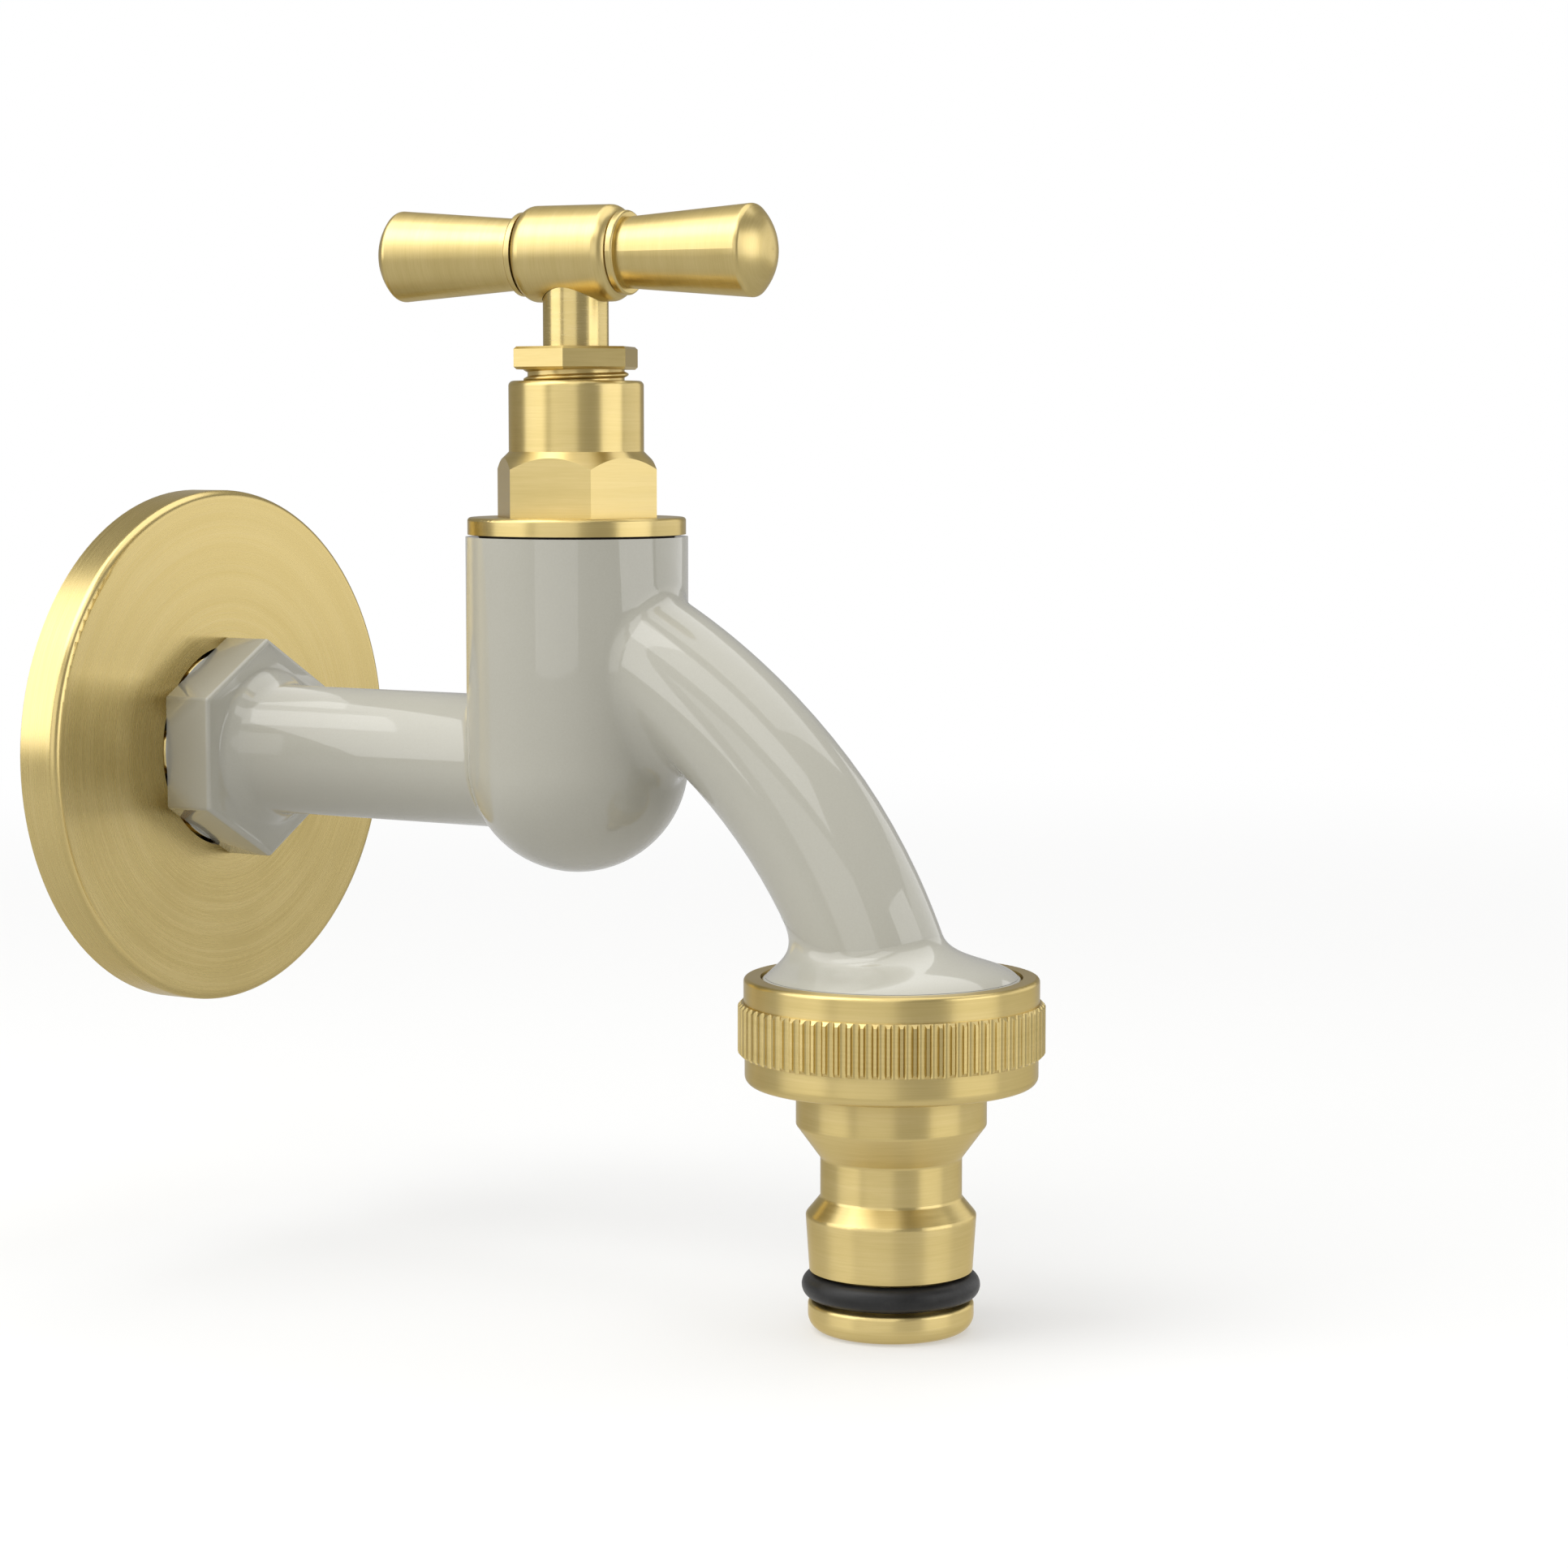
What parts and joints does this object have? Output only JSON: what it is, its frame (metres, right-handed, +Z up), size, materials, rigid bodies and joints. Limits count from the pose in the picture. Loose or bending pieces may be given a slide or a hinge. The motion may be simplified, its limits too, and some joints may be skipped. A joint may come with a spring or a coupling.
{
  "type": "outdoor wall tap",
  "caption": "wall-mounted bib tap with enamelled curved body, brass tee handle on a rising spindle, knurled hose connector with click nipple, and a round wall rose",
  "frame": {"origin": "on the inlet's axis, in the wall's plane, which is the rose's back face", "axes": "+Y into the wall along the inlet, +Z up along the spindle, +X across"},
  "size_m": [0.054, 0.1083, 0.1081],
  "materials": {
    "enamel": "gloss enamel on cast brass",
    "brushed_brass": "satin, brushed round the turned forms",
    "plain_brass": "as machined",
    "black_rubber": "matte",
    "fibre": "pressed fibre"
  },
  "bodies": {
    "tap": {"tap_body": "enamel", "wall_rose": "brushed_brass", "bonnet": "brushed_brass", "bonnet_washer": "fibre", "gland_nut": "brushed_brass", "gland_ring": "plain_brass", "gland_packing": "fibre"},
    "valve": {"jumper_valve": "plain_brass", "valve_washer": "black_rubber", "washer_nut": "plain_brass"},
    "handle": {"spindle": "brushed_brass", "handle_hub": "brushed_brass", "handle_arm_front": "brushed_brass", "handle_arm_back": "brushed_brass", "handle_stud": "plain_brass"},
    "seal": {"connector_washer": "black_rubber"},
    "connector": {"hose_connector": "brushed_brass", "o_ring": "black_rubber"}
  },
  "joints": [
    {"name": "valve_lift", "type": "slide", "parent": "tap", "child": "valve", "axis": [0, 0, 1], "range_m": [0, 0.0045]},
    {"name": "handle_turn", "type": "hinge", "parent": "valve", "child": "handle", "pos_m": [0, -0.0499, 0.03], "axis": [0, 0, 1], "range_deg": [0, 810]},
    {"name": "connector_drop", "type": "slide", "parent": "tap", "child": "seal", "axis": [0, 0, -1], "range_m": [0, 0.0045]},
    {"name": "connector_turn", "type": "hinge", "parent": "seal", "child": "connector", "pos_m": [0, -0.0861, -0.03], "axis": [0, 0, -1], "range_deg": [0, 1080]}
  ],
  "couplings": [
    {"joint": "handle_turn", "follows": "valve_lift", "rad_per_m": 3141.6},
    {"joint": "connector_turn", "follows": "connector_drop", "rad_per_m": 4188.8}
  ]
}
